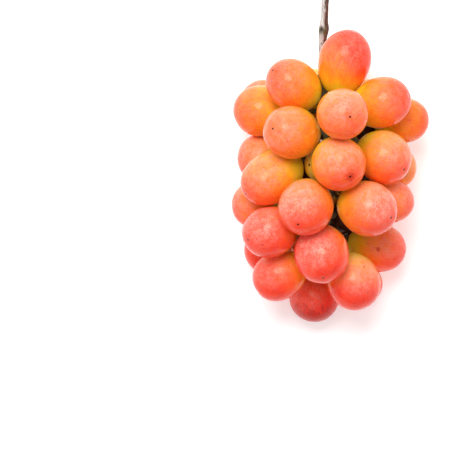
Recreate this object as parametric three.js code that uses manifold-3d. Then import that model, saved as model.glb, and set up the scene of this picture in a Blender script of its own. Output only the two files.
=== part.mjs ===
// A bunch of large red table grapes, picked and lying on a flat surface.
// Millimetres. +X is to the right of the bunch, +Y runs along it towards the cut stem, +Z is up.
// The origin is on the resting surface, under the middle of the bunch's bounding box.

import * as THREE from "three";
import { mergeVertices } from "three/addons/utils/BufferGeometryUtils.js";
import Module from "manifold-3d";

// ---- Driving dimensions ----------------------------------------------------------------------

const CLEARANCE = 0.35; // free gap between neighbouring pieces
const PRESS = 0.7; // how far the bunch's weight flattens a berry on the surface
const BLUNTNESS = 0.05; // the share by which a berry is fuller at its blossom end
const BERRY_SIDES = 12; // facets round a berry
const BERRY_RINGS = 8; // steps from pole to pole

// The main stem from its cut end, past the knot and through the middle of the bunch to the last
// berries: x, y, z and radius.
const RACHIS = [
  [2.0, 94, 38, 1.75],
  [0.3, 78, 38, 1.75],
  [-0.3, 66, 38, 1.8],
  [-1.1, 57, 37, 1.8],
  [-0.4, 50, 36, 1.8],
  [0.5, 38, 36, 1.9],
  [1.0, 22, 37, 1.8],
  [3.0, 0, 35, 1.7],
  [2.5, -20, 33, 1.5],
  [0.5, -36, 29, 1.2],
  [0.0, -49, 24, 1.0],
];
const RACHIS_STEPS = 36;
const RACHIS_SIDES = 10;
const KNOT_Y = 65.4;
const KNOT_SWELL = 0.7; // extra radius at the knot
const KNOT_WIDTH = 3;

// A branch runs from the rachis to one berry, and swells into a cap where the berry sits.
const BRANCH_RADIUS = 1.3; // at the rachis
const PEDICEL_RADIUS = 0.85; // at the berry
const CAP_RADIUS = 2.1;
const CAP_LENGTH = 2.2;
const BRANCH_SIDES = 6;
const STEP_LENGTH = 6; // the length of one step along a branch
const FORK_EVERY = 9; // the spacing of the forks along the rachis
const BRANCH_LEAN = 6; // a branch leaves the rachis this much nearer the cut end

// The berries that show from above: the place of each one's centre, its length and diameter, and
// the way its blossom end points, as a heading round +Z from +X and a lift above level.
const UPPER_BERRIES = [
  { at: [9.2, 48.7, 49.6], size: [32.4, 24.8], heading: 74, lift: 13 },
  { at: [-14.6, 38, 52], size: [29.6, 23.8], heading: 145, lift: 33 },
  { at: [7.7, 22.9, 79], size: [28, 24.2], heading: -25, lift: 74 },
  { at: [26.7, 29.9, 53], size: [29.4, 24.2], heading: 15, lift: 20 },
  { at: [36.5, 21.6, 31], size: [27.2, 22], heading: 2, lift: -5 },
  { at: [-30.1, 26.4, 36.5], size: [27, 24.3], heading: 175, lift: 10 },
  { at: [-28.3, 29, 11.5], size: [24.5, 23.8], heading: 155, lift: -20 },
  { at: [-15.8, 15.4, 63], size: [31, 25], heading: 170, lift: 52 },
  { at: [-29, 3.8, 27], size: [23.2, 23], heading: 170, lift: 0 },
  { at: [27.8, 3.9, 54], size: [28, 25.5], heading: -32, lift: 33 },
  { at: [32.2, -1, 26], size: [25, 21.2], heading: -3, lift: -8 },
  { at: [4.6, -0.4, 70], size: [28.2, 25.4], heading: -50, lift: 53 },
  { at: [-25.2, -5.2, 49], size: [33.8, 24.6], heading: 213, lift: 25 },
  { at: [-1.5, 0, 47], size: [17, 16], heading: 180, lift: 45 },
  { at: [-7.3, -19, 65], size: [28.5, 26], heading: 245, lift: 48 },
  { at: [19.9, -20.7, 60], size: [30.2, 26], heading: -22, lift: 35 },
  { at: [30.7, -17.3, 39], size: [24.8, 20.8], heading: 3, lift: -5 },
  { at: [-33.0, -19, 31], size: [22.8, 22], heading: 185, lift: -5 },
  { at: [-25.9, -31.6, 50], size: [28.5, 24.4], heading: 200, lift: 35 },
  { at: [-1.6, -41.5, 54], size: [30, 26], heading: -87, lift: 38 },
  { at: [24.4, -38.8, 22], size: [28.8, 23.4], heading: -14, lift: 3 },
  { at: [-26.4, -40.8, 16], size: [22.8, 22.2], heading: 205, lift: -15 },
  { at: [-21.5, -52.8, 35], size: [27.2, 23.6], heading: 215, lift: 3 },
  { at: [13.6, -55.2, 38], size: [28.4, 25.4], heading: -68, lift: 10 },
  { at: [18.6, -57, 9.2], size: [20, 19.4], heading: -60, lift: -10 },
  { at: [-4.6, -63.6, 13.2], size: [24.4, 23.8], heading: -95, lift: -25 },
];

// The berries underneath, which carry the bunch, and the small ones deep inside it: centre, length
// and diameter. Their blossom ends point away from the rachis.
const LOWER_BERRIES = [
  { at: [9.6, 49.5, 22], size: [24, 22] },
  { at: [-5, 36, 12], size: [26, 24.5] },
  { at: [21.5, 30.5, 11.2], size: [23.5, 22] },
  { at: [-15, 12, 12], size: [26, 24.5] },
  { at: [10, 12, 12], size: [26, 24] },
  { at: [-24, -12, 12], size: [25, 23.5] },
  { at: [-1, -13, 11], size: [23.5, 22.5] },
  { at: [23, -16.5, 11.5], size: [24, 23] },
  { at: [-6.5, -34.5, 11.2], size: [23, 22] },
  { at: [9, -28.5, 18], size: [16.5, 15.5] },
  { at: [12.5, 34.5, 35], size: [17, 16] },
  { at: [-12, 36, 30.5], size: [17, 16] },
  { at: [16, -5, 36], size: [15.5, 15] },
  { at: [-3.2, 16, 21], size: [10.8, 10.4] },
  { at: [20.3, 15.4, 25], size: [11, 10.5] },
  { at: [-9, -1.5, 25], size: [12, 11.5] },
  { at: [13, -34.5, 8.5], size: [9, 8.5] },
];

// ---- Placing the berries ---------------------------------------------------------------------

const BALLS = [-0.95, -0.6, -0.2, 0.2, 0.6, 0.95]; // balls along the axis that fill out a berry
const ROUNDS = 1200;
const PULL = 0.06; // how strongly a berry returns to its place, fading to nothing
const PULL_ROUNDS = 700;
const UPPER_GIVE = new THREE.Vector3(0.25, 0.25, 1); // an upper berry gives way up or down
const LOWER_GIVE = new THREE.Vector3(1, 1, 1);

const stemPath = new THREE.CatmullRomCurve3(RACHIS.map(([x, y, z]) => new THREE.Vector3(x, y, z)));
const stemPoints = stemPath.getSpacedPoints(80);

function stemRadius(y) {
  const next = Math.max(1, RACHIS.findIndex((station) => station[1] <= y + 1e-6));
  const [[, yA, , radiusA], [, yB, , radiusB]] = [RACHIS[next - 1], RACHIS[next]];
  const fromKnot = (y - KNOT_Y) / KNOT_WIDTH;
  return THREE.MathUtils.mapLinear(y, yA, yB, radiusA, radiusB) + KNOT_SWELL * Math.exp(-(fromKnot ** 2));
}

function nearestOnStem(point) {
  return stemPoints.reduce((best, candidate) =>
    candidate.distanceTo(point) < best.distanceTo(point) ? candidate : best,
  );
}

function directionOf(heading, lift) {
  const turn = THREE.MathUtils.degToRad(heading);
  const rise = THREE.MathUtils.degToRad(lift);
  return new THREE.Vector3(Math.cos(turn) * Math.cos(rise), Math.sin(turn) * Math.cos(rise), Math.sin(rise));
}

function awayFromStem(centre) {
  const towardsCut = new THREE.Vector3(0, BRANCH_LEAN, 0);
  return centre.clone().sub(nearestOnStem(centre.clone().add(towardsCut))).normalize();
}

function makeBerry({ at, size: [length, diameter], heading, lift }) {
  const centre = new THREE.Vector3(...at);
  const half = length / 2;
  const radius = diameter / 2;
  const isUpper = heading !== undefined;
  const focus = half - radius ** 2 / half;
  const balls = BALLS.map((share) => {
    const offset = share * focus;
    const roundness = Math.sqrt(1 - offset ** 2 / (half ** 2 - radius ** 2));
    return { offset, radius: radius * roundness * (1 + (BLUNTNESS * offset) / half) };
  });
  return {
    centre,
    home: centre.clone(),
    axis: isUpper ? directionOf(heading, lift) : awayFromStem(centre),
    give: isUpper ? UPPER_GIVE : LOWER_GIVE,
    half,
    radius,
    balls,
  };
}

function ballPlace(berry, ball) {
  return berry.centre.clone().addScaledVector(berry.axis, ball.offset);
}

// The smallest gap between two berries, and the way across it from the first to the second.
function gapBetween(a, b) {
  let best = { gap: Infinity, way: null };
  for (const ballA of a.balls) {
    const placeA = ballPlace(a, ballA);
    for (const ballB of b.balls) {
      const way = ballPlace(b, ballB).sub(placeA);
      const gap = way.length() - ballA.radius - ballB.radius;
      if (gap < best.gap) best = { gap, way };
    }
  }
  return { gap: best.gap, way: best.way.normalize() };
}

function pushApart(a, b) {
  if (a.centre.distanceTo(b.centre) > a.half + b.half + CLEARANCE) return;
  const { gap, way } = gapBetween(a, b);
  if (gap >= CLEARANCE) return;
  const step = way.multiplyScalar((CLEARANCE - gap) / 2);
  a.centre.sub(step.clone().multiply(a.give));
  b.centre.add(step.clone().multiply(b.give));
}

function pushOffStem(berry) {
  for (const point of stemPoints) {
    for (const ball of berry.balls) {
      const way = ballPlace(berry, ball).sub(point);
      const gap = way.length() - ball.radius - stemRadius(point.y);
      if (gap < CLEARANCE) berry.centre.addScaledVector(way.normalize(), CLEARANCE - gap);
    }
  }
}

function lowestPoint(berry) {
  return Math.min(...berry.balls.map((ball) => ballPlace(berry, ball).z - ball.radius));
}

// Pushes the berries apart until none touches another or the stem, or is pressed into the surface.
function settle(berries) {
  for (let round = 0; round < ROUNDS; round += 1) {
    const pull = PULL * Math.max(0, 1 - round / PULL_ROUNDS);
    berries.forEach((berry, index) => {
      berry.centre.lerp(berry.home, pull);
      for (const other of berries.slice(index + 1)) pushApart(berry, other);
      pushOffStem(berry);
      berry.centre.z += Math.max(0, -PRESS - lowestPoint(berry));
    });
  }
}

// ---- Solids ----------------------------------------------------------------------------------

const wasm = await Module();
wasm.setup();

function toSolid(geometry) {
  geometry.deleteAttribute("normal");
  geometry.deleteAttribute("uv");
  const merged = mergeVertices(geometry);
  return new wasm.Manifold(
    new wasm.Mesh({
      numProp: 3,
      vertProperties: new Float32Array(merged.attributes.position.array),
      triVerts: new Uint32Array(merged.index.array),
    }),
  );
}

function toGeometry(solid) {
  const { vertProperties, triVerts } = solid.getMesh();
  const geometry = new THREE.BufferGeometry();
  geometry.setAttribute("position", new THREE.BufferAttribute(vertProperties, 3));
  geometry.setIndex(new THREE.BufferAttribute(triVerts, 1));
  geometry.computeVertexNormals();
  return geometry;
}

// Everything below the resting surface, which presses the lowest berries flat.
const GROUND_DEPTH = 20;
const groundGeometry = new THREE.BoxGeometry(400, 400, GROUND_DEPTH);
groundGeometry.translate(0, 0, -GROUND_DEPTH / 2);
const ground = toSolid(groundGeometry);

// A round of points from the stem end to the blossom end, turned about the berry's own axis. One
// facet faces straight down, so that a berry on the surface rests on a flat.
function berrySolid(berry) {
  const profile = [];
  for (let ring = 0; ring <= BERRY_RINGS; ring += 1) {
    const angle = (Math.PI * ring) / BERRY_RINGS;
    const along = -Math.cos(angle);
    const girth = ring % BERRY_RINGS === 0 ? 0 : berry.radius * Math.sin(angle);
    profile.push(new THREE.Vector2(girth * (1 + BLUNTNESS * along), berry.half * along));
  }
  const geometry = new THREE.LatheGeometry(profile, BERRY_SIDES);
  const down = new THREE.Vector3(0, 0, -1);
  const side = down.clone().addScaledVector(berry.axis, -down.dot(berry.axis)).normalize();
  const third = new THREE.Vector3().crossVectors(berry.axis, side);
  geometry.rotateY(Math.PI / BERRY_SIDES);
  geometry.applyMatrix4(new THREE.Matrix4().makeBasis(third, berry.axis, side).setPosition(berry.centre));
  const solid = toSolid(geometry);
  return lowestPoint(berry) < 0 ? solid.subtract(ground) : solid;
}

// A closed tube along a curve. radiusAt is given the point and the length left to the far end.
function tube(curve, radiusAt, steps, sides) {
  const length = curve.getLength();
  const frames = curve.computeFrenetFrames(steps);
  const positions = [];
  const triangles = [];
  const vertex = (step, side) => step * sides + (side % sides);
  for (let step = 0; step <= steps; step += 1) {
    const middle = curve.getPointAt(step / steps);
    const radius = radiusAt(middle, length * (1 - step / steps));
    for (let side = 0; side < sides; side += 1) {
      const turn = (2 * Math.PI * side) / sides;
      const rim = middle.clone();
      rim.addScaledVector(frames.normals[step], radius * Math.cos(turn));
      rim.addScaledVector(frames.binormals[step], radius * Math.sin(turn));
      positions.push(rim.x, rim.y, rim.z);
      if (step === steps) continue;
      triangles.push(vertex(step, side), vertex(step, side + 1), vertex(step + 1, side));
      triangles.push(vertex(step, side + 1), vertex(step + 1, side + 1), vertex(step + 1, side));
    }
  }
  for (let side = 1; side < sides - 1; side += 1) {
    triangles.push(vertex(0, 0), vertex(0, side + 1), vertex(0, side));
    triangles.push(vertex(steps, 0), vertex(steps, side), vertex(steps, side + 1));
  }
  const geometry = new THREE.BufferGeometry();
  geometry.setAttribute("position", new THREE.BufferAttribute(new Float32Array(positions), 3));
  geometry.setIndex(triangles);
  return toSolid(geometry);
}

// ---- The stem and its branches ---------------------------------------------------------------

const ROUTE_ROUNDS = 400;
const ROUTE_POINTS = 7; // points between the fork and the berry that give way to other berries
const ROUTE_PULL = 0.3; // how strongly a route straightens

function stemEnd(berry, gap) {
  return berry.centre.clone().addScaledVector(berry.axis, -berry.half - gap);
}

function forkPoint(berry) {
  const target = stemEnd(berry, 0).add(new THREE.Vector3(0, BRANCH_LEAN, 0));
  const nearest = nearestOnStem(target);
  const station = Math.round(nearest.y / FORK_EVERY) * FORK_EVERY;
  return nearestOnStem(new THREE.Vector3(nearest.x, station, nearest.z));
}

// Moves a point of a branch out of any berry that is in its way.
function pushClear(point, berries, room) {
  for (const berry of berries) {
    for (const ball of berry.balls) {
      const way = point.clone().sub(ballPlace(berry, ball));
      const gap = way.length() - ball.radius;
      if (gap < room) point.addScaledVector(way.normalize(), (room - gap) * 0.7);
    }
  }
}

// The way of a branch from its fork to its berry, threaded between the other berries.
function branchRoute(berry, berries) {
  const start = forkPoint(berry);
  const end = stemEnd(berry, CLEARANCE);
  const approach = stemEnd(berry, CLEARANCE + CAP_LENGTH * 1.6);
  const points = [start];
  for (let index = 1; index <= ROUTE_POINTS; index += 1) {
    points.push(start.clone().lerp(approach, index / (ROUTE_POINTS + 1)));
  }
  points.push(approach, end);
  for (let round = 0; round < ROUTE_ROUNDS; round += 1) {
    for (let index = 1; index <= ROUTE_POINTS; index += 1) {
      const middle = points[index - 1].clone().lerp(points[index + 1], 0.5);
      points[index].lerp(middle, ROUTE_PULL);
      pushClear(points[index], berries, BRANCH_RADIUS + CLEARANCE);
    }
  }
  return new THREE.CatmullRomCurve3(points);
}

function branchRadius(length) {
  return (point, left) => {
    const base = THREE.MathUtils.lerp(PEDICEL_RADIUS, BRANCH_RADIUS, left / length);
    const swell = Math.max(0, 1 - left / CAP_LENGTH);
    return base + (CAP_RADIUS - base) * Math.sqrt(swell);
  };
}

function branchSolid(berry, berries) {
  const route = branchRoute(berry, berries);
  const length = route.getLength();
  return tube(route, branchRadius(length), Math.ceil(length / STEP_LENGTH) + 2, BRANCH_SIDES);
}

function rachisSolid(berries) {
  const stem = tube(stemPath, (point) => stemRadius(point.y), RACHIS_STEPS, RACHIS_SIDES);
  return berries.reduce((solid, berry) => solid.add(branchSolid(berry, berries)), stem);
}

// ---- The bunch -------------------------------------------------------------------------------

const skin = { color: 0xd9683f, roughness: 0.45, metalness: 0 };
const wood = { color: 0x7a6a3c, roughness: 0.8, metalness: 0 };

function makeMesh(name, solid, finish) {
  const mesh = new THREE.Mesh(toGeometry(solid), new THREE.MeshStandardMaterial(finish));
  mesh.name = name;
  return mesh;
}

const berries = [...UPPER_BERRIES, ...LOWER_BERRIES].map(makeBerry);
settle(berries);

const group = new THREE.Group();
berries.forEach((berry, index) => {
  group.add(makeMesh(`berry_${String(index + 1).padStart(2, "0")}`, berrySolid(berry), skin));
});
group.add(makeMesh("rachis", rachisSolid(berries), wood));

const bounds = new THREE.Box3().setFromObject(group);
const middle = bounds.getCenter(new THREE.Vector3());
group.position.set(-middle.x, -middle.y, 0);

export default group;
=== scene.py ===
"""A bunch of large oval red table grapes, lying on its side with its stem towards +Y.

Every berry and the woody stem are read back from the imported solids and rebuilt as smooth, detailed
skins that press on each other where they touch. Shapes are worked out in millimetres, and become
metres when a mesh is made. Colours are linear red, green and blue.
"""

import math

import bmesh
import bpy
import numpy as np
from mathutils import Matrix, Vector, noise


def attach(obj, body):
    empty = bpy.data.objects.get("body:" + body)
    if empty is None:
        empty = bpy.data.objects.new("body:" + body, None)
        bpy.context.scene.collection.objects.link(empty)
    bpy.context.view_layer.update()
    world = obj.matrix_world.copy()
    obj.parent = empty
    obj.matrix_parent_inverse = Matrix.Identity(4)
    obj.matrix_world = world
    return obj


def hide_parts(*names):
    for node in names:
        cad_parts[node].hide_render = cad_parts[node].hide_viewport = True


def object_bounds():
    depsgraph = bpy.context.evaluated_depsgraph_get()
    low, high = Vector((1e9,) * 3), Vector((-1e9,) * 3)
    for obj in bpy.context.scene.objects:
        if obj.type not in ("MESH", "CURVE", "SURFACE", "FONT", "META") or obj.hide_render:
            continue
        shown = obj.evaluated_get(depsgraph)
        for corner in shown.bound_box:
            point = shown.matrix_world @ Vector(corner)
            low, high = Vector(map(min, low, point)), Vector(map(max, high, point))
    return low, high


MM = 0.001

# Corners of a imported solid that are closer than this, in metres, are one corner.
WELD_DISTANCE = 1e-6

# ---------------------------------------------------------------------------------------------
# Stage: metres and watts, with the camera's sensor in millimetres
# ---------------------------------------------------------------------------------------------

# The camera looks straight down from far away, with the stem at the top of the picture.
CAMERA_HEIGHT = 3.0
FOCUS_LEVEL = 0.05
VIEW_WIDTH = 0.2266
VIEW_OFFSET = (-0.0456, -0.0406)
SENSOR_WIDTH = 36.0
FAR_LIMIT = 20.0

FLOOR_HALF = 2.0
FLOOR_LOOK = {
    "Base Color": (0.92, 0.92, 0.92, 1.0),
    "Roughness": 0.9,
    "Emission Color": (1.0, 1.0, 1.0, 1.0),
    "Emission Strength": 0.32,
}

KEY_PLACE = (-0.15, 0.5, 1.2)
KEY_TARGET = (0.0, 0.0, 0.05)
KEY_SIZE = 0.75
KEY_POWER = 13.8

SKY_STRENGTH = 0.72
SKY_AT_TIP_SIDE = 0.82
SKY_AT_STEM_SIDE = 1.05

# ---------------------------------------------------------------------------------------------
# Berry shape: millimetres and shares
# ---------------------------------------------------------------------------------------------

BERRY_COUNT = 43
BERRY_SIDES = 56
BERRY_RINGS = 44

# How far the rings are crowded towards the two ends: 0 is evenly spaced.
POLE_CROWDING = 0.65

# A packed corner where at least this many edges meet is an end of the berry.
POLE_SPOKES = 10

# The part of the half length on each side of the middle where the berry is measured as widest.
WAIST_SHARE = 0.2

# How much wider than an even oval the blossom end is, and how far that moves the fitted middle.
BLUNTNESS = 0.05
FIT_DRIFT = 0.016

# The skin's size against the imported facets, and the gentle unevenness on it.
PLUMPNESS = 1.015
LUMP_SIZE = 9.0
LUMP_HEIGHT = 0.22

# A way that no berry's axis lies along. The berries' own sides are worked out from it.
SIDE_HINT = (0.31, 0.27, 0.91)

# Packed corners lower than this are on the flat that the berry rests on.
PRESSED_BELOW = 0.05
RESTING_PLANE = (np.array((0.0, 0.0, -1.0)), 0.0)
PRESS_SOFTNESS = 0.4

# How often, and how strongly, the plane between two berries is turned towards where they meet.
CONTACT_STEPS = 80
CONTACT_STEP = 0.02

SCAR_DIMPLE = 0.22
SCAR_DIMPLE_WIDTH = 1.5
STEM_DIMPLE = 0.35
STEM_DIMPLE_WIDTH = 2.4

# ---------------------------------------------------------------------------------------------
# Berry colouring
# ---------------------------------------------------------------------------------------------

# A span is the value where a change starts and the value where it ends.
RIPE_BASE = 0.24
RIPER_ALONG = 0.30
PALER_STEM_END = 0.16
STEM_END_SPAN = (0.05, 0.85)
# Painted light and shade: the side that faces the cut stem and the key light is painted paler, and the far
# side redder.
PAINTED_LIGHT_AND_SHADE_BY_SIDE = 0.08
RIPER_AT_TIP = 0.24
BUNCH_SPAN = (-60.0, 70.0)
BLUSH_DEPTH = 0.30
BLUSH_SPAN = (0.1, 1.0)
RIPE_LIMIT = 0.80
RIPEST = 1.0
VERY_RIPE = {26}

# The waxy bloom, together with a painted sheen of the light from above and from the cut stem's side, is
# thickest on the upper side, towards the cut stem and outwards from the midline.
PAINTED_SHEEN_LIFT = 0.84
PAINTED_SHEEN_LEAN = 0.38
MIDLINE = 5.0
OUTER_REACH = 12.0
BLOOM_LEAST = 0.12
PAINTED_SHEEN_SPAN = (0.35, 0.95)

# Berries that stand out from the rest. Each row says how much riper the berry is than its place in
# the bunch, how strongly its two ends differ, and how strong its waxy bloom and painted sheen are.
USUAL_TRAITS = (0.0, 1.0, 1.0)
TRAITS = {
    1: (0.20, 1.2, 0.6),
    2: (0.06, 1.1, 0.7),
    3: (0.06, 0.7, 1.3),
    4: (0.09, 1.2, 0.6),
    5: (0.04, 1.0, 0.3),
    6: (0.00, 1.0, 0.5),
    7: (0.15, 1.0, 1.0),
    8: (-0.04, 0.9, 1.0),
    10: (-0.06, 1.1, 1.0),
    11: (-0.16, 0.8, 1.0),
    12: (-0.06, 1.0, 1.3),
    13: (-0.10, 1.1, 1.0),
    14: (-0.45, 0.5, 1.0),
    15: (0.02, 0.9, 1.4),
    16: (-0.02, 1.1, 1.4),
    18: (-0.04, 1.0, 1.0),
    19: (0.16, 1.0, 1.1),
    20: (0.08, 0.9, 1.3),
    21: (-0.02, 1.2, 0.8),
    22: (0.22, 1.0, 0.3),
    23: (0.16, 1.0, 0.8),
    24: (0.03, 1.1, 1.2),
    26: (0.38, 0.5, 0.7),
}

# The way that a berry's sunburnt side faces.
BLUSHES = {
    1: (0.86, 0.36, 0.36),
    20: (-0.60, 0.60, 0.50),
    24: (-0.20, -0.90, 0.30),
}
NO_BLUSH = (0.0, 0.0, 0.0)

# Small berries deep inside the bunch, painted dark brown as painted shade in the gaps between the outer
# berries.
PAINTED_SHADE_BERRIES = {36, 39, 40, 41, 42, 43}

# Small marks on the skin: the way from the berry's middle to the mark (None for the blossom scar)
# and how far it spreads.
MARKS = {
    3: ((0.44, -0.20, 0.87), 0.5),
    12: (None, 3.8),
    19: ((-0.30, -0.45, 0.84), 0.6),
    21: ((0.04, -0.07, 1.00), 1.7),
    24: ((0.44, 0.52, 0.73), 0.8),
}
NO_MARK = 99.0

# ---------------------------------------------------------------------------------------------
# Skin material
# ---------------------------------------------------------------------------------------------

# Sockets of the colour mixing node.
MIX_FIRST = 6
MIX_SECOND = 7
MIX_RESULT = 2

NOISE_MIDDLE = 0.5

# Moves the patterns from one berry to the next, so that no two are alike.
SEED_STEP = np.array((7.7, 3.1, 0.0))

# A pattern is its scale for each millimetre, its detail and its roughness.
MOTTLE = (0.22, 4.0, 0.6)
MOTTLE_DEPTH = 0.30
STREAKS = (1.5, 4.0, 0.7)
STREAKS_ROUND = 9.0
STREAK_CLIMB = 0.22
GRAIN = (1.3, 4.0, 0.75)
PATCHES = (0.32, 7.0, 0.8)
RAGGED_EDGE = (0.9, 5.0, 0.8)
RAGGED_DEPTH = 3.0
SPECK_SCALE = 0.2

# A fade is the value where it starts and ends, and what it gives at each.
STREAKS_REDDEN = (0.50, 0.66, 0.0, 0.12)
GRAIN_REDDENS = (0.50, 0.66, 0.0, 0.12)
# Pale waxy bloom together with a painted sheen of the light.
BLOOM_AND_SHEEN_DEPTH = 0.48
BLOOM_AND_SHEEN_IN_PATCHES = (0.36, 0.64, 0.35, 1.05)
BLOOM_AND_SHEEN_FROM_TIP = (1.0, 6.0, 0.6, 1.0)
BLOOM_AND_SHEEN_IN_GRAIN = (0.36, 0.64, 0.45, 1.45)
DOTS_IN_GRAIN = (0.54, 0.66, 0.0, 0.60)
DOTS_ON_RIPE = (0.25, 0.50, 0.0, 1.0)
SPECK_FADE = (0.03, 0.06, 0.85, 0.0)
MARK_FADE = (0.25, 1.0, 0.8, 0.0)
SCAR_FADE = (0.35, 0.85, 1.0, 0.0)
SKIN_ROUGHNESS = (0.0, 0.5, 0.12, 0.22)

# From a share of ripeness to the skin's colour.
SKIN_STOPS = [
    (0.00, (0.82, 0.58, 0.018)),
    (0.14, (0.90, 0.49, 0.008)),
    (0.30, (0.94, 0.31, 0.008)),
    (0.50, (0.96, 0.18, 0.010)),
    (0.68, (0.95, 0.075, 0.012)),
    (0.84, (0.90, 0.032, 0.010)),
    (0.92, (0.78, 0.020, 0.008)),
    (1.00, (0.50, 0.011, 0.007)),
]
# The pale pink of the waxy bloom, which also paints a sheen of the light.
BLOOM_AND_SHEEN_COLOUR = (0.88, 0.46, 0.37, 1.0)
DOT_COLOUR = (0.80, 0.070, 0.030, 1.0)
SPECK_COLOUR = (0.30, 0.08, 0.02, 1.0)
MARK_COLOUR = (0.55, 0.030, 0.012, 1.0)
SCAR_COLOUR = (0.016, 0.005, 0.003, 1.0)
# Painted shade on the small berries deep inside the bunch.
PAINTED_SHADE_COLOUR = (0.040, 0.015, 0.009, 1.0)

SCAR_HOLLOW = -0.6
SKIN_BUMP = {"Strength": 0.25, "Distance": 0.0001}
FLESH = {
    "Subsurface Weight": 0.3,
    "Subsurface Radius": (1.0, 0.2, 0.06),
    "Subsurface Scale": 0.003,
    "Specular Tint": (1.0, 0.62, 0.48, 1.0),
    "Specular IOR Level": 0.3,
}

# ---------------------------------------------------------------------------------------------
# Stem shape (millimetres) and material
# ---------------------------------------------------------------------------------------------

STEM_VOXEL = 0.45
STEM_SMOOTHING = 0.5
STEM_SMOOTH_ROUNDS = 3
BARK_SWELL = 0.12

# Noise on the stem is its size and its seed.
BARK_GRAIN = 0.16
BARK_GRAIN_NOISE = (1.6, 3)
BARK_GRAIN_STRETCH = (1.0, 0.35, 1.0)
BARK_EDGE_NOISE = (9.0, 5)
BARK_EDGE_WANDER = 4.0
SHADE_NOISE = (2.5, 8)
SHADE_WANDER = 0.3

# Outside the bunch, from this span of Y on, the stem has grey bark. Its cut end stays plain.
BARK_SPAN = (32.0, 46.0)
CUT_END = 1.0

KNOT_FROM_END = 28.8
KNOT_SLICE = 1.5
KNOT_SHIFT = 0.6
KNOT_WIDTH = 2.0
PIT_FROM_MIDDLE = (-1.3, 0.4, 1.7)
PIT_DEPTH = 0.9
PIT_WIDTH = 1.1
PIT_DARKNESS = 1.3

FIBRE = (1.4, 5.0, 0.65)
FIBRE_STRETCH = (1.0, 0.25, 1.0)
BARK_PATCHES = (0.25, 3.0, 0.6)
# Painted light and shade on the stem: pale where it faces left, dark red-brown where it faces right.
PAINTED_SHADE_SIDE = (-0.25, 0.30, 0.0, 1.0)
BURL_IN_PATCHES = (0.3, 0.6, 1.0, 0.8)
BARK_ROUGHNESS = (0.3, 0.7, 0.85, 0.6)
BARK_BUMP = {"Strength": 0.6, "Distance": 0.0002}

# Lit and shaded copies of the bark: the first is painted light on the left side, the second painted shade
# on the right side.
PAINTED_LIT_BARK_STOPS = [
    (0.34, (0.12, 0.10, 0.06)),
    (0.44, (0.42, 0.38, 0.35)),
    (0.60, (0.60, 0.57, 0.55)),
]
PAINTED_SHADED_BARK_STOPS = [
    (0.32, (0.03, 0.012, 0.006)),
    (0.50, (0.085, 0.028, 0.014)),
    (0.66, (0.20, 0.095, 0.055)),
]
GREEN_STEM_STOPS = [
    (0.35, (0.035, 0.035, 0.010)),
    (0.50, (0.08, 0.065, 0.018)),
    (0.65, (0.13, 0.09, 0.035)),
]
# The knot, olive where it faces left and dark brown where it faces right, as painted shade.
BURL_AND_SHADE_STOPS = [
    (0.10, (0.075, 0.070, 0.014)),
    (0.45, (0.10, 0.055, 0.016)),
    (0.75, (0.040, 0.012, 0.006)),
]
PIT_COLOUR = (0.022, 0.008, 0.004, 1.0)

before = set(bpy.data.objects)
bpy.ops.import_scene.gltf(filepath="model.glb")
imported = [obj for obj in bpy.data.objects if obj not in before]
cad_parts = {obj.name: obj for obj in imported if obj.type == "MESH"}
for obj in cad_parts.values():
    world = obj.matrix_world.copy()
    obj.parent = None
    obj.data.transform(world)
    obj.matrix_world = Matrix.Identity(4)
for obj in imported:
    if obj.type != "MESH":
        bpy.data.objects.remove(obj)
cad_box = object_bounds()


# ---------------------------------------------------------------------------------------------
# Small helpers
# ---------------------------------------------------------------------------------------------


def unit(vector):
    return vector / np.linalg.norm(vector)


def unit_rows(vectors):
    return vectors / np.linalg.norm(vectors, axis=1)[:, None]


def smooth_step(value, low, high):
    share = np.clip((value - low) / (high - low), 0.0, 1.0)
    return share * share * (3.0 - 2.0 * share)


def noise_at(points, size, seed):
    """Smooth noise from -1 to 1 at each point, with features of that size."""
    shift = Vector((seed * 17.3, seed * 5.1, seed * 9.7))
    return np.array([noise.noise(Vector(point) / size + shift) for point in points])


def add_attribute(mesh, name, values):
    """A float for each vertex, or a vector when values has three columns."""
    is_vector = values.ndim == 2
    kind = "FLOAT_VECTOR" if is_vector else "FLOAT"
    attribute = mesh.attributes.new(name, kind, "POINT")
    attribute.data.foreach_set("vector" if is_vector else "value", values.astype(np.float32).ravel())


def add_object(name, data):
    """A new object in the scene for that mesh, light or camera."""
    added = bpy.data.objects.new(name, data)
    bpy.context.scene.collection.objects.link(added)
    return added


def welded_points(name):
    """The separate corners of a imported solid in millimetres, and how many edges meet at each."""
    mesh = bmesh.new()
    mesh.from_mesh(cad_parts[name].data)
    bmesh.ops.remove_doubles(mesh, verts=mesh.verts, dist=WELD_DISTANCE)
    points = np.array([vertex.co for vertex in mesh.verts]) / MM
    spokes = np.array([len(vertex.link_edges) for vertex in mesh.verts])
    mesh.free()
    return points, spokes


# ---------------------------------------------------------------------------------------------
# Berry shapes
# ---------------------------------------------------------------------------------------------


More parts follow.
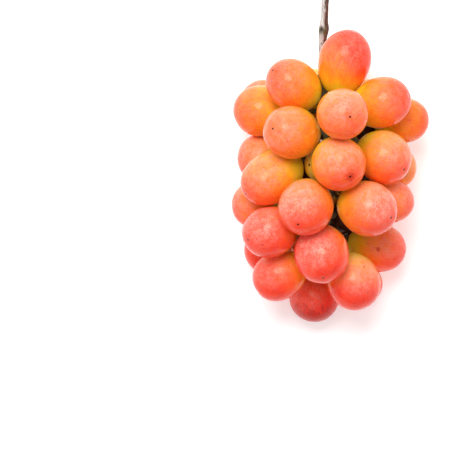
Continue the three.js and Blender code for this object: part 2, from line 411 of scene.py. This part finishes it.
class Berry:
    """One berry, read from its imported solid."""

    def __init__(self, number, stem_points):
        self.number = number
        self.name = f"berry_{number:02d}"
        points, spokes = welded_points(self.name)
        stem_pole = nearest_point(points[spokes >= POLE_SPOKES], stem_points)
        centre = quadric_centre(points[points[:, 2] > PRESSED_BELOW])
        half = np.linalg.norm(centre - stem_pole) / (1.0 + FIT_DRIFT)
        self.axis = unit(centre - stem_pole)
        self.centre = stem_pole + self.axis * half
        self.half = half * PLUMPNESS
        self.radius = self.waist(points, half) * PLUMPNESS
        side = unit(np.cross(self.axis, SIDE_HINT))
        self.axes = np.stack([side, np.cross(self.axis, side), self.axis])

    def waist(self, points, half):
        """How far the points near the berry's middle reach from its axis."""
        arms = points - self.centre
        along = arms @ self.axis
        girths = np.linalg.norm(arms - np.outer(along, self.axis), axis=1)
        return girths[np.abs(along) < WAIST_SHARE * half].max()

    def support(self, way):
        """The point of the plain oval that lies furthest that way."""
        along = way @ self.axis
        across = way - along * self.axis
        reach = math.sqrt((self.radius ** 2) * (across @ across) + (self.half * along) ** 2)
        return self.centre + ((self.radius ** 2) * across + (self.half ** 2) * along * self.axis) / reach


def nearest_point(points, others):
    """The one of the points that lies nearest to any of the others."""
    reach = [np.linalg.norm(others - point, axis=1).min() for point in points]
    return points[int(np.argmin(reach))]


def quadric_centre(points):
    """The centre of the oval surface that fits the points best."""
    middle = points.mean(axis=0)
    x, y, z = (points - middle).T
    terms = np.stack([x * x, y * y, z * z, 2 * x * y, 2 * x * z, 2 * y * z, 2 * x, 2 * y, 2 * z], axis=1)
    fit = np.linalg.lstsq(terms, np.ones(len(points)), rcond=None)[0]
    form = np.array([[fit[0], fit[3], fit[4]], [fit[3], fit[1], fit[5]], [fit[4], fit[5], fit[2]]])
    return middle - np.linalg.solve(form, fit[6:9])


def find_contact(first, second):
    """The plane two berries share where they press together: its normal and its distance."""
    way = unit(second.centre - first.centre)
    for _ in range(CONTACT_STEPS):
        gap = second.support(-way) - first.support(way)
        way = unit(way + gap * CONTACT_STEP)
    near = way @ first.support(way)
    far = way @ second.support(-way)
    return (way, (near + far) / 2.0) if far < near else None


def find_contacts(berries):
    """For each berry, the planes its neighbours and the resting surface press on it."""
    planes = {berry.name: [RESTING_PLANE] for berry in berries}
    for index, first in enumerate(berries):
        for second in berries[index + 1:]:
            if np.linalg.norm(first.centre - second.centre) > first.half + second.half:
                continue
            contact = find_contact(first, second)
            if contact:
                way, distance = contact
                planes[first.name].append((way, distance))
                planes[second.name].append((-way, -distance))
    return planes


def press(points, way, distance):
    """Pushes back what lies beyond the plane, with a softly rounded edge."""
    depth = points @ way - distance
    blend = np.clip(PRESS_SOFTNESS - np.abs(depth), 0.0, None) / PRESS_SOFTNESS
    pressed = np.minimum(depth, 0.0) - blend * blend * PRESS_SOFTNESS / 4.0
    return points - np.outer(depth - pressed, way)


def oval_points():
    """Unit points in rings from the stem end to the blossom end (z from -1 to 1)."""
    shares = np.linspace(0.0, 1.0, BERRY_RINGS + 1)
    crowded = (1 - np.cos(math.pi * shares)) / 2
    angles = math.pi * ((1 - POLE_CROWDING) * shares + POLE_CROWDING * crowded)
    turns = np.arange(BERRY_SIDES) * 2 * math.pi / BERRY_SIDES
    points = [(0.0, 0.0, -1.0)]
    for angle in angles[1:-1]:
        girth = math.sin(angle)
        points += [(girth * math.cos(turn), girth * math.sin(turn), -math.cos(angle)) for turn in turns]
    points.append((0.0, 0.0, 1.0))
    return np.array(points)


def oval_faces():
    """The faces between those points: fans at the two ends and four-sided faces between the rings."""
    last_ring = 1 + (BERRY_RINGS - 2) * BERRY_SIDES
    last_point = last_ring + BERRY_SIDES
    faces = []
    for side in range(BERRY_SIDES):
        following = (side + 1) % BERRY_SIDES
        faces.append((0, 1 + following, 1 + side))
        for low in range(1, last_ring, BERRY_SIDES):
            high = low + BERRY_SIDES
            faces.append((low + side, low + following, high + following, high + side))
        faces.append((last_ring + side, last_ring + following, last_point))
    return faces


def berry_points(berry, grid, planes):
    """The berry's skin in the row frame and, in its own frame, measured from its middle."""
    girth = berry.radius * (1.0 + BLUNTNESS * grid[:, 2])
    own = np.stack([grid[:, 0] * girth, grid[:, 1] * girth, grid[:, 2] * berry.half], axis=1)
    lumps = LUMP_HEIGHT * noise_at(own, LUMP_SIZE, berry.number)
    from_axis = np.hypot(own[:, 0], own[:, 1])
    at_tip = np.where(grid[:, 2] > 0, np.exp(-(from_axis / SCAR_DIMPLE_WIDTH) ** 2), 0.0)
    at_stem = np.where(grid[:, 2] < 0, np.exp(-(from_axis / STEM_DIMPLE_WIDTH) ** 2), 0.0)
    outward = lumps - SCAR_DIMPLE * at_tip - STEM_DIMPLE * at_stem
    own += unit_rows(own) * outward[:, None]
    points = berry.centre + own @ berry.axes
    for way, distance in planes:
        points = press(points, way, distance)
    return points, own


def make_berry(berry, grid, faces, planes, material):
    points, own = berry_points(berry, grid, planes)
    mesh = bpy.data.meshes.new(berry.name + "_skin")
    mesh.from_pydata((points * MM).tolist(), [], faces)
    mesh.shade_smooth()
    facing = unit_rows(points - berry.centre)
    tip = np.array((0.0, 0.0, berry.half))
    add_attribute(mesh, "from_tip", own - tip)
    add_attribute(mesh, "seed", np.tile(berry.number * SEED_STEP, (len(points), 1)))
    # The ripe attribute carries painted light and shade by side as well as ripeness.
    add_attribute(mesh, "ripe", ripeness_and_side_shade(berry, grid, facing))
    # Pale bloom with a painted sheen of the light, thickest on the upper side.
    add_attribute(mesh, "painted_sheen_and_bloom", bloom_and_sheen_share(berry, facing))
    add_attribute(mesh, "from_mark", from_mark(berry, own))
    # Marks the small berries deep inside for painted shade.
    add_attribute(mesh, "painted_shade", np.full(len(points), float(berry.number in PAINTED_SHADE_BERRIES)))
    mesh.materials.append(material)
    piece = add_object(berry.name + "_skin", mesh)
    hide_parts(berry.name)
    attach(piece, "root")


# ---------------------------------------------------------------------------------------------
# Berry colouring
# ---------------------------------------------------------------------------------------------


def ripeness_and_side_shade(berry, grid, facing):
    """From 0, olive yellow, to 1, deep red: ripest at the blossom end, and towards the bunch's tip. The
    side facing the cut stem and the key light is painted paler, as painted light, and the far side redder,
    as painted shade.
    """
    riper, contrast, _ = TRAITS.get(berry.number, USUAL_TRAITS)
    along = RIPER_ALONG * grid[:, 2] - PALER_STEM_END * smooth_step(-grid[:, 2], *STEM_END_SPAN)
    towards_tip = RIPER_AT_TIP * smooth_step(-berry.centre[1], *BUNCH_SPAN)
    blush_way = np.array(BLUSHES.get(berry.number, NO_BLUSH))
    blush = BLUSH_DEPTH * smooth_step(facing @ blush_way, *BLUSH_SPAN)
    # The term on facing's Y is painted light and shade: paler towards the cut stem and the key light,
    # redder away from them.
    ripe = RIPE_BASE + riper + contrast * along - PAINTED_LIGHT_AND_SHADE_BY_SIDE * facing[:, 1] + towards_tip + blush
    return np.minimum(ripe, RIPEST if berry.number in VERY_RIPE else RIPE_LIMIT)


def bloom_and_sheen_share(berry, facing):
    """Where the pale waxy bloom and its painted sheen of the light are thickest: on the upper side,
    outwards and towards the cut stem.
    """
    thickness = TRAITS.get(berry.number, USUAL_TRAITS)[2]
    outwards = np.clip((berry.centre[0] - MIDLINE) / OUTER_REACH, -1.0, 1.0)
    towards = facing @ np.array((PAINTED_SHEEN_LEAN * outwards, PAINTED_SHEEN_LEAN, PAINTED_SHEEN_LIFT))
    return thickness * (BLOOM_LEAST + (1.0 - BLOOM_LEAST) * smooth_step(towards, *PAINTED_SHEEN_SPAN))


def from_mark(berry, own):
    """The way from the berry's mark to each point, in units of the mark's size."""
    if berry.number not in MARKS:
        return np.full(own.shape, NO_MARK)
    direction, size = MARKS[berry.number]
    own_direction = np.array((0.0, 0.0, 1.0)) if direction is None else berry.axes @ np.array(direction)
    nearest = own[int(np.argmax(unit_rows(own) @ own_direction))]
    return (own - nearest) / size


# ---------------------------------------------------------------------------------------------
# Materials
# ---------------------------------------------------------------------------------------------


class Nodes:
    """Short calls that add and join a material's nodes."""

    def __init__(self, name):
        self.material = bpy.data.materials.new(name)
        self.material.use_nodes = True
        self.tree = self.material.node_tree
        self.shader = self.tree.nodes["Principled BSDF"]

    def add(self, kind, settings=(), inputs=()):
        node = self.tree.nodes.new(kind)
        for name, value in dict(settings).items():
            setattr(node, name, value)
        for socket, value in dict(inputs).items():
            self.put(node.inputs[socket], value)
        return node

    def put(self, socket, value):
        if isinstance(value, bpy.types.NodeSocket):
            self.tree.links.new(value, socket)
        else:
            socket.default_value = value

    def attribute(self, name, output="Fac"):
        return self.add("ShaderNodeAttribute", {"attribute_name": name}).outputs[output]

    def math(self, operation, *values):
        return self.add("ShaderNodeMath", {"operation": operation}, enumerate(values)).outputs[0]

    def vector(self, operation, *values, output=0):
        return self.add("ShaderNodeVectorMath", {"operation": operation}, enumerate(values)).outputs[output]

    def scaled(self, vector, scale):
        node = self.add("ShaderNodeVectorMath", {"operation": "SCALE"}, {0: vector, "Scale": scale})
        return node.outputs[0]

    def noise(self, place, scale, detail, roughness):
        inputs = {"Vector": place, "Scale": scale, "Detail": detail, "Roughness": roughness}
        return self.add("ShaderNodeTexNoise", {}, inputs).outputs["Fac"]

    def varied(self, value, pattern, depth):
        """value moved up and down by a noise pattern."""
        return self.math("MULTIPLY_ADD", self.math("SUBTRACT", pattern, NOISE_MIDDLE), depth, value)

    def fade(self, value, low, high, to_low, to_high):
        """value turned smoothly from to_low at low into to_high at high."""
        settings = {"interpolation_type": "SMOOTHSTEP"}
        inputs = {"Value": value, "From Min": low, "From Max": high, "To Min": to_low, "To Max": to_high}
        return self.add("ShaderNodeMapRange", settings, inputs).outputs["Result"]

    def mix(self, share, first, second):
        """The first colour where the share is 0, and the second where it is 1."""
        node = self.add("ShaderNodeMix", {"data_type": "RGBA"})
        self.put(node.inputs["Factor"], share)
        self.put(node.inputs[MIX_FIRST], first)
        self.put(node.inputs[MIX_SECOND], second)
        return node.outputs[MIX_RESULT]

    def ramp(self, value, stops):
        node = self.add("ShaderNodeValToRGB", {}, {"Fac": value})
        elements = node.color_ramp.elements
        while len(elements) < len(stops):
            elements.new(0.5)
        for element, (place, colour) in zip(elements, stops):
            element.position = place
            element.color = (*colour, 1.0)
        return node.outputs["Color"]

    def surface(self, colour, roughness, height, bump_settings):
        """Gives the shader its colour, its roughness and the fine relief of the height."""
        self.put(self.shader.inputs["Base Color"], colour)
        self.put(self.shader.inputs["Roughness"], roughness)
        bump = self.add("ShaderNodeBump", {}, {**bump_settings, "Height": height})
        self.put(self.shader.inputs["Normal"], bump.outputs[0])

    def set_shader(self, values):
        for name, value in values.items():
            self.shader.inputs[name].default_value = value


def streak_pattern(nodes, from_tip, seed):
    """Noise drawn out into lines that run from the blossom end to the stem end."""
    split = nodes.add("ShaderNodeSeparateXYZ", {}, {0: from_tip}).outputs
    ring = nodes.add("ShaderNodeCombineXYZ", {}, {0: split[0], 1: split[1]}).outputs[0]
    turn = nodes.scaled(nodes.vector("NORMALIZE", ring), STREAKS_ROUND)
    climb = nodes.add("ShaderNodeCombineXYZ", {}, {2: nodes.math("MULTIPLY", split[2], STREAK_CLIMB)})
    place = nodes.vector("ADD", nodes.vector("ADD", turn, climb.outputs[0]), seed)
    return nodes.noise(place, *STREAKS)


def skin_ripeness(nodes, place, streaks, grain):
    """The berry's ripeness with mottling, and redder streaks and grain."""
    ripe = nodes.varied(nodes.attribute("ripe"), nodes.noise(place, *MOTTLE), MOTTLE_DEPTH)
    ripe = nodes.math("ADD", ripe, nodes.fade(streaks, *STREAKS_REDDEN))
    return nodes.math("ADD", ripe, nodes.fade(grain, *GRAIN_REDDENS))


def bloom_and_sheen_cover(nodes, place, reach, grain):
    """How much of the skin the pale waxy bloom and its painted sheen of the light cover: patchy, grainy and
    thin near the scar.
    """
    bloom_and_sheen = nodes.math("MULTIPLY", nodes.attribute("painted_sheen_and_bloom"), BLOOM_AND_SHEEN_DEPTH)
    patches = nodes.fade(nodes.noise(place, *PATCHES), *BLOOM_AND_SHEEN_IN_PATCHES)
    bloom_and_sheen = nodes.math("MULTIPLY", bloom_and_sheen, patches)
    bloom_and_sheen = nodes.math("MULTIPLY", bloom_and_sheen, nodes.fade(reach, *BLOOM_AND_SHEEN_FROM_TIP))
    return nodes.math("MULTIPLY", bloom_and_sheen, nodes.fade(grain, *BLOOM_AND_SHEEN_IN_GRAIN))


def add_dots(nodes, colour, place, grain, ripe):
    """Red dots where the skin is ripe, and a few brown specks."""
    dots = nodes.math("MULTIPLY", nodes.fade(grain, *DOTS_IN_GRAIN), nodes.fade(ripe, *DOTS_ON_RIPE))
    colour = nodes.mix(dots, colour, DOT_COLOUR)
    speck = nodes.add("ShaderNodeTexVoronoi", {}, {"Vector": place, "Scale": SPECK_SCALE})
    return nodes.mix(nodes.fade(speck.outputs["Distance"], *SPECK_FADE), colour, SPECK_COLOUR)


def add_mark(nodes, colour, place):
    """A red mark with a ragged edge."""
    reach = nodes.vector("LENGTH", nodes.attribute("from_mark", "Vector"), output="Value")
    ragged = nodes.varied(reach, nodes.noise(place, *RAGGED_EDGE), RAGGED_DEPTH)
    return nodes.mix(nodes.fade(ragged, *MARK_FADE), colour, MARK_COLOUR)


def make_skin():
    nodes = Nodes("grape_skin")
    from_tip = nodes.attribute("from_tip", "Vector")
    seed = nodes.attribute("seed", "Vector")
    place = nodes.vector("ADD", from_tip, seed)
    reach = nodes.vector("LENGTH", from_tip, output="Value")
    grain = nodes.noise(place, *GRAIN)
    ripe = skin_ripeness(nodes, place, streak_pattern(nodes, from_tip, seed), grain)
    bloom_and_sheen = bloom_and_sheen_cover(nodes, place, reach, grain)
    scar = nodes.fade(reach, *SCAR_FADE)
    # Pale waxy bloom, partly a painted sheen of the light.
    colour = nodes.mix(bloom_and_sheen, nodes.ramp(ripe, SKIN_STOPS), BLOOM_AND_SHEEN_COLOUR)
    colour = add_dots(nodes, colour, place, grain, ripe)
    colour = add_mark(nodes, colour, place)
    colour = nodes.mix(scar, colour, SCAR_COLOUR)
    # Painted shade: the small berries deep inside are painted dark brown.
    colour = nodes.mix(nodes.attribute("painted_shade"), colour, PAINTED_SHADE_COLOUR)
    height = nodes.math("MULTIPLY_ADD", scar, SCAR_HOLLOW, grain)
    nodes.surface(colour, nodes.fade(bloom_and_sheen, *SKIN_ROUGHNESS), height, SKIN_BUMP)
    nodes.set_shader(FLESH)
    return nodes.material


def make_bark():
    nodes = Nodes("stem_wood")
    place = nodes.scaled(nodes.add("ShaderNodeTexCoord").outputs["Object"], 1.0 / MM)
    fibre = nodes.noise(nodes.vector("MULTIPLY", place, FIBRE_STRETCH), *FIBRE)
    patches = nodes.noise(place, *BARK_PATCHES)
    shade = nodes.attribute("shade")
    # Painted light and shade: the bark is pale where it faces left and dark red-brown where it faces right.
    lit_bark = nodes.ramp(fibre, PAINTED_LIT_BARK_STOPS)
    shaded_bark = nodes.ramp(fibre, PAINTED_SHADED_BARK_STOPS)
    wood = nodes.mix(nodes.fade(shade, *PAINTED_SHADE_SIDE), lit_bark, shaded_bark)
    # The knot is painted from olive on its left to dark brown on its right, as painted shade.
    burl_and_shade = nodes.ramp(shade, BURL_AND_SHADE_STOPS)
    burl_share = nodes.math("MULTIPLY", nodes.attribute("knot"), nodes.fade(patches, *BURL_IN_PATCHES))
    wood = nodes.mix(burl_share, wood, burl_and_shade)
    green = nodes.ramp(patches, GREEN_STEM_STOPS)
    colour = nodes.mix(nodes.attribute("bark"), green, wood)
    colour = nodes.mix(nodes.attribute("pit"), colour, PIT_COLOUR)
    nodes.surface(colour, nodes.fade(fibre, *BARK_ROUGHNESS), fibre, BARK_BUMP)
    return nodes.material


# ---------------------------------------------------------------------------------------------
# Stem
# ---------------------------------------------------------------------------------------------


def smoothed_stem(piece):
    """A mesh of the piece with its facets and seams melted together and rounded."""
    remesh = piece.modifiers.new("remesh", "REMESH")
    remesh.mode = "VOXEL"
    remesh.voxel_size = STEM_VOXEL * MM
    soften = piece.modifiers.new("soften", "SMOOTH")
    soften.iterations = STEM_SMOOTH_ROUNDS
    soften.factor = STEM_SMOOTHING
    evaluated = piece.evaluated_get(bpy.context.evaluated_depsgraph_get())
    smooth = bpy.data.meshes.new_from_object(evaluated)
    piece.modifiers.clear()
    return smooth


def make_stem(material):
    piece = add_object("rachis_bark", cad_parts["rachis"].data.copy())
    mesh = smoothed_stem(piece)
    mesh.name = "rachis_bark"
    piece.data = mesh
    shape_bark(mesh)
    mesh.materials.clear()
    mesh.materials.append(material)
    mesh.shade_smooth()
    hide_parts("rachis")
    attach(piece, "root")


def shape_bark(mesh):
    """Raises the bark, sinks the pit in the knot, and marks where bark, shade, pit and knot are."""
    flat = np.empty(len(mesh.vertices) * 3)
    mesh.vertices.foreach_get("co", flat)
    points = flat.reshape(-1, 3) / MM
    normals = np.array([normal.vector for normal in mesh.vertex_normals])
    end = points[:, 1].max()
    knot_place = end - KNOT_FROM_END
    knot_slice = points[np.abs(points[:, 1] - knot_place) < KNOT_SLICE]
    pit_centre = knot_slice.mean(axis=0) + PIT_FROM_MIDDLE
    pit = np.exp(-(np.linalg.norm(points - pit_centre, axis=1) / PIT_WIDTH) ** 2)
    grain = noise_at(points * BARK_GRAIN_STRETCH, *BARK_GRAIN_NOISE)
    rise = BARK_SWELL + BARK_GRAIN * grain - PIT_DEPTH * pit
    below_cut = points[:, 1] < end - CUT_END
    points = points + normals * (rise * below_cut)[:, None]
    mesh.vertices.foreach_set("co", (points * MM).ravel())
    along = points[:, 1]
    edge = along + BARK_EDGE_WANDER * noise_at(points, *BARK_EDGE_NOISE)
    add_attribute(mesh, "bark", smooth_step(edge, *BARK_SPAN))
    add_attribute(mesh, "shade", normals[:, 0] + SHADE_WANDER * noise_at(points, *SHADE_NOISE))
    add_attribute(mesh, "pit", np.clip(pit * PIT_DARKNESS, 0.0, 1.0))
    add_attribute(mesh, "knot", np.exp(-((along - knot_place + KNOT_SHIFT) / KNOT_WIDTH) ** 2))


# ---------------------------------------------------------------------------------------------
# Stage, light and camera
# ---------------------------------------------------------------------------------------------


def make_floor():
    mesh = bpy.data.meshes.new("floor")
    corners = [(x * FLOOR_HALF, y * FLOOR_HALF, 0) for x, y in ((-1, -1), (1, -1), (1, 1), (-1, 1))]
    mesh.from_pydata(corners, [], [(0, 1, 2, 3)])
    nodes = Nodes("floor_white")
    nodes.set_shader(FLOOR_LOOK)
    mesh.materials.append(nodes.material)
    floor = add_object("floor", mesh)


def make_light(name, place, target, size, power):
    data = bpy.data.lights.new(name, "AREA")
    data.shape = "DISK"
    data.size = size
    data.energy = power
    light = add_object(name, data)
    light.location = place
    light.rotation_euler = (Vector(target) - Vector(place)).to_track_quat("-Z", "Y").to_euler()


def make_world():
    """A white studio, a little brighter on the side that the cut stem points to."""
    world = bpy.data.worlds.new("studio")
    world.use_nodes = True
    tree = world.node_tree
    background = tree.nodes["Background"]
    background.inputs["Strength"].default_value = SKY_STRENGTH
    way = tree.nodes.new("ShaderNodeTexCoord").outputs["Generated"]
    split = tree.nodes.new("ShaderNodeSeparateXYZ")
    brightness = tree.nodes.new("ShaderNodeMapRange")
    tree.links.new(way, split.inputs[0])
    tree.links.new(split.outputs["Y"], brightness.inputs["Value"])
    brightness.inputs["From Min"].default_value = -1.0
    brightness.inputs["To Min"].default_value = SKY_AT_TIP_SIDE
    brightness.inputs["To Max"].default_value = SKY_AT_STEM_SIDE
    tree.links.new(brightness.outputs["Result"], background.inputs["Color"])
    bpy.context.scene.world = world


def make_camera():
    low, high = cad_box
    middle = (Vector(low) + Vector(high)) / 2.0
    data = bpy.data.cameras.new("camera")
    data.sensor_width = SENSOR_WIDTH
    data.lens = SENSOR_WIDTH * (CAMERA_HEIGHT - FOCUS_LEVEL) / VIEW_WIDTH
    data.clip_end = FAR_LIMIT
    camera = add_object("camera", data)
    camera.location = (middle.x + VIEW_OFFSET[0], middle.y + VIEW_OFFSET[1], CAMERA_HEIGHT)
    bpy.context.scene.camera = camera


make_camera()
make_world()
make_light("key", KEY_PLACE, KEY_TARGET, KEY_SIZE, KEY_POWER)
make_floor()
bpy.context.scene.view_settings.view_transform = "Standard"

stem_points, _ = welded_points("rachis")
berries = [Berry(number, stem_points) for number in range(1, BERRY_COUNT + 1)]
contacts = find_contacts(berries)
grid = oval_points()
faces = oval_faces()
skin = make_skin()
for berry in berries:
    make_berry(berry, grid, faces, contacts[berry.name], skin)
make_stem(make_bark())

bpy.context.view_layer.update()
